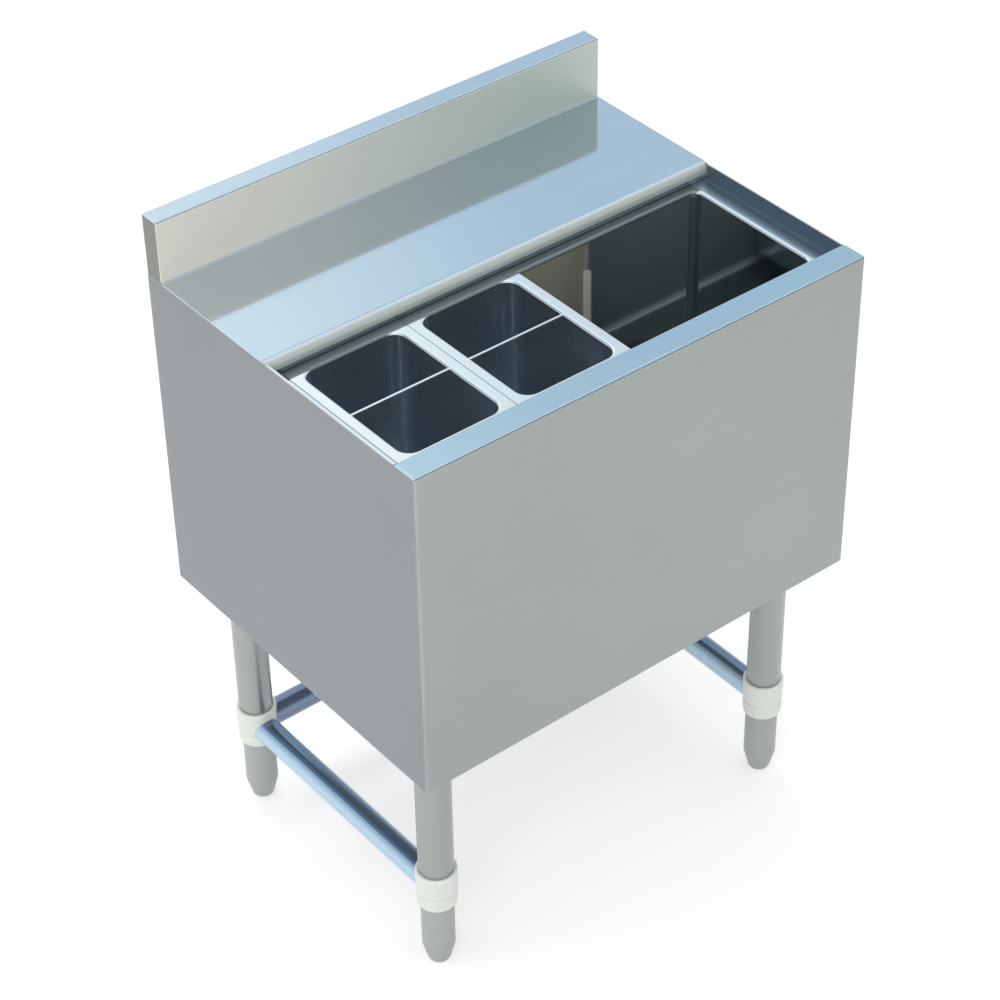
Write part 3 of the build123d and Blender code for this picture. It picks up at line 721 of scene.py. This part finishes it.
# The zinc finish is real zinc sheet, and its dark tone is painted shade that stands for the shade
# under the cabinet.
finishes["zinc"] = steel("zinc_sheet", (0.26, 0.28, 0.30), 0.42, cloud=0.12)
finishes["cast"] = steel("cast_socket", (0.38, 0.39, 0.39), 0.45, cloud=0.10)
print(len(finishes), "steel finishes")

# %% [markdown]
# ## Plastic, rubber and foam
# The collars that carry the rails are pale moulded plastic and the feet are grey plastic. Moulded
# plastic has a very fine even grain and picks up a little dirt in patches, so its colour and its
# roughness drift slowly.

# %% Finishes of the plastics
dirt_size = 18.0
rough_by_dirt = 0.10
pore_noise = (2.0, 0.5)


def moulded(name, colour, rough, drift=0.05, grain=0.05, grain_size=1800.0):
    """Matt plastic: colour x (1 + drift x clouds), with a fine even grain in its relief."""
    material = bpy.data.materials.new(name)
    material.use_nodes = True
    tree = material.node_tree
    shader = tree.nodes["Principled BSDF"]
    place = add(tree, "ShaderNodeTexCoord").outputs["Object"]
    stains = use_group(tree, clouds, place, size=dirt_size)
    tone = maths(tree, "MULTIPLY_ADD", stains.outputs["Cloud"], drift, 1.0)
    feed(tree, shader.inputs["Base Color"], tinted(tree, colour, tone))
    worn = maths(tree, "MULTIPLY_ADD", stains.outputs["Marks"], rough_by_dirt, rough)
    feed(tree, shader.inputs["Roughness"], worn)
    relief(tree, shader, noise(tree, place, grain_size, *pore_noise), grain)
    return material


finishes["collar"] = moulded("collar_plastic", (0.83, 0.86, 0.80), 0.36)
finishes["foot"] = moulded("foot_plastic", (0.43, 0.455, 0.45), 0.42)
finishes["rubber"] = moulded("grommet_rubber", (0.03, 0.03, 0.03), 0.65)
finishes["foam"] = moulded(
    "foam_insulation", (0.78, 0.66, 0.38), 0.9, drift=0.12, grain=0.5, grain_size=400.0
)
print(len(finishes), "finishes in all")

# %% [markdown]
# ## Feet with a real thread
# Each bullet foot screws into a plug in the end of its leg, so a bar can be levelled on an uneven
# floor. The solid has a plain stem, because a thread of many turns is heavy for a drawing that also
# has to be simulated. Here the foot is turned again with the thread on it. A lathe part is a
# profile carried round an axis, so a grid of heights and turns gives every point at once, and the
# thread is only a small ripple of the radius that climbs by one pitch a turn.

# %% Profiles and turned pieces
arc_points = 9
crease = math.radians(40)


def rounded(corners, radii):
    """Outline through corners, each replaced by an arc of its radius that touches both its sides.

    The arc's middle lies on the line that halves the corner, at radius / sin(half the corner).
    """
    corners = np.array(corners, float)
    runs = [corners[:1]]
    for before, corner, after, radius in zip(corners[:-2], corners[1:-1], corners[2:], radii):
        if radius == 0:
            runs.append(corner[None])
            continue
        first, second = unit(before - corner), unit(after - corner)
        half = math.acos(np.dot(first, second)) / 2
        middle = corner + unit(first + second) * radius / math.sin(half)
        start = corner + first * radius / math.tan(half) - middle
        end = corner + second * radius / math.tan(half) - middle
        swept = math.pi - 2 * half
        share = np.linspace(0, 1, arc_points)[:, None]
        arc = np.sin((1 - share) * swept) * start + np.sin(share * swept) * end
        runs.append(middle + arc / math.sin(swept))
    return np.concatenate(runs + [corners[-1:]])


def thread(height, turn, low, high, pitch, depth, fade_in, fade_out):
    """How far a thread cuts into its bar: depth x (1 + cos(2 pi (height / pitch - turn))) / 2.

    turn is in whole turns, so the groove climbs one pitch a turn. It fades in above low and out
    below high, where the cutter leaves the bar.
    """
    groove = (1 + np.cos(2 * math.pi * (height / pitch - turn))) / 2
    into = np.clip((height - low) / fade_in, 0, 1) * np.clip((high - height) / fade_out, 0, 1)
    return depth * groove * into


def turned_piece(name, radii, heights, place, closed_ring=False):
    """Surface of points (radius cos a, radius sin a, height), one row for each height.

    radii and heights have the shape (rows, columns). A bar is closed by a flat fan at both ends,
    and a pipe, whose rows go up outside and down the bore, by joining its last row to its first.
    """
    columns = radii.shape[1]
    around = np.linspace(0, 2 * math.pi, columns, endpoint=False)[None, :]
    across = [radii * np.cos(around), radii * np.sin(around)]
    points = np.stack([*across, heights + 0 * radii], axis=-1) + np.array(place)
    piece = surface(name, points, wrap_u=closed_ring, wrap_v=True, caps=not closed_ring)
    piece.data.shade_smooth()
    piece.data.set_sharp_from_angle(angle=crease)
    return piece


print("an arc of", arc_points, "points stands for every rounded corner")

# %% The foot: a bullet that is widest above its tapered tip, with the threaded stem on top
columns = 64
flat_radius, tip_radius, foot_radius, stem_radius = 0.0005, 0.0125, 0.0195, 0.008
tip_round, taper_round = 0.006, 0.018
taper_top, foot_top, foot_edge = 0.027, 0.095, 0.002
stem_length, stem_rings = 0.045, 220
stem_end_radius, stem_chamfer = 0.0066, 0.0012
stem_pitch, stem_depth = 0.002, 0.0009
stem_start, stem_stop = 0.001, 0.0004
stem_fades = (0.002, 0.001)
stem_top = foot_top + stem_length
bullet = rounded(
    [
        (flat_radius, 0.0), (tip_radius, 0.0),
        (foot_radius, taper_top), (foot_radius, foot_top - foot_edge),
        (foot_radius - foot_edge, foot_top), (stem_radius, foot_top),
    ],
    [tip_round, taper_round, 0.0, 0.0],
)
stem_heights = np.linspace(foot_top, stem_top - stem_chamfer, stem_rings)
stem = np.stack([0 * stem_heights + stem_radius, stem_heights], axis=1)
profile = np.concatenate([bullet[:-1], stem, [(stem_end_radius, stem_top)]])
turns = np.linspace(0, 1, columns, endpoint=False)[None, :]
heights = profile[:, 1:2] + 0 * turns
stem_limits = (foot_top + stem_start, stem_top - stem_stop)
cut = thread(heights, turns, *stem_limits, stem_pitch, stem_depth, *stem_fades)
on_stem = (heights > foot_top) & (profile[:, 0:1] > stem_end_radius)
foot_radii = profile[:, 0:1] - np.where(on_stem, cut, 0)
print("stem of", round(stem_length / stem_pitch), "turns,", foot_radii.size, "points a foot")

# %% Four feet, each riding on the body that slides out of its leg
feet = {}
for node in [name for name in nodes if name.endswith("_foot")]:
    low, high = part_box(node)
    middle = ((low.x + high.x) / 2, (low.y + high.y) / 2, low.z)
    foot = turned_piece(f"{node}_with_thread", foot_radii, heights, middle)
    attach(foot, f"{node}_body")
    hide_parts(node)
    feet[node] = foot
print(len(feet), "feet")

# %% [markdown]
# ## The drain's pipe thread
# Under the pan hangs a short pipe that the bar's waste line screws on to. A pipe thread is coarse,
# eleven and a half turns to the inch, and runs out into the plain pipe above it. It is the same
# ripple on another profile, and this profile closes on itself: up the outside and down the bore.

# %% The drain nipple
low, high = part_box("drain_nipple")
pipe_radius, body_radius, bore_radius = 0.0167, (high.x - low.x) / 2, 0.0133
pipe_low, pipe_top = low.z, high.z
pipe_length, pipe_chamfer, pipe_rings = 0.040, 0.0012, 200
pipe_pitch, pipe_depth = 0.00221, 0.0012
pipe_start, thread_length = 0.0006, 0.026
pipe_fades = (0.001, 0.008)
pipe_shoulder, thread_top = pipe_low + pipe_length, pipe_low + thread_length
outside = np.linspace(pipe_low + pipe_chamfer, pipe_shoulder, pipe_rings)
profile = np.concatenate(
    [
        [(bore_radius, pipe_low), (pipe_radius - pipe_chamfer, pipe_low)],
        np.stack([0 * outside + pipe_radius, outside], axis=1),
        [(body_radius, pipe_shoulder), (body_radius, pipe_top), (bore_radius, pipe_top)],
    ]
)
heights = profile[:, 1:2] + 0 * turns
pipe_limits = (pipe_low + pipe_start, thread_top)
cut = thread(heights, turns, *pipe_limits, pipe_pitch, pipe_depth, *pipe_fades)
on_pipe = np.isclose(profile[:, 0:1], pipe_radius)
pipe_radii = profile[:, 0:1] - np.where(on_pipe, cut, 0)
middle = ((low.x + high.x) / 2, (low.y + high.y) / 2, 0.0)
nipple = turned_piece("drain_nipple_with_thread", pipe_radii, heights, middle, closed_ring=True)
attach(nipple, "cabinet")
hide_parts("drain_nipple")
print("pipe thread of", round((thread_top - pipe_low) / pipe_pitch, 1), "turns")

# %% Which finish each solid wears
wears = {
    "front_panel": "front",
    "left_side_panel": "left_side",
    "right_side_panel": "right_side",
    "back_panel": "back",
    "deck_and_backsplash": "deck",
    "left_splash_end_cap": "cap",
    "right_splash_end_cap": "cap",
    "bottom_pan": "zinc",
    "left_bottom_channel": "zinc",
    "right_bottom_channel": "zinc",
    "deck_stiffener": "zinc",
    "ice_tub": "tub",
    "foam_insulation": "foam",
    "drain_sump": "tub",
    "drain_nipple": "bright",
    "drain_strainer": "bright",
    "drain_grommet": "rubber",
    "left_twin_well": "well",
    "middle_twin_well": "well",
    "left_rail": "rail",
    "right_rail": "rail",
    "rear_rail": "rear_rail",
}
endings = {
    "_leg_socket": "cast",
    "_leg": "leg",
    "_rail_fitting": "collar",
    "_foot_plug": "foot",
    "_foot": "foot",
    "bolts": "zinc",
    "nuts": "zinc",
    "screws": "zinc",
}


def finish_of(node):
    """Finish of a solid by its name, or by how its name ends."""
    if node in wears:
        return wears[node]
    return next(finish for ending, finish in endings.items() if node.endswith(ending))


def dress(piece, finish):
    """Put one finish on a whole piece."""
    piece.data.materials.clear()
    piece.data.materials.append(finishes[finish])


for name, solid in nodes.items():
    dress(solid, finish_of(name))
for foot in feet.values():
    dress(foot, "foot")
dress(nipple, "bright")
print("dressed", len(nodes), "solids and", len(feet) + 1, "turned pieces")
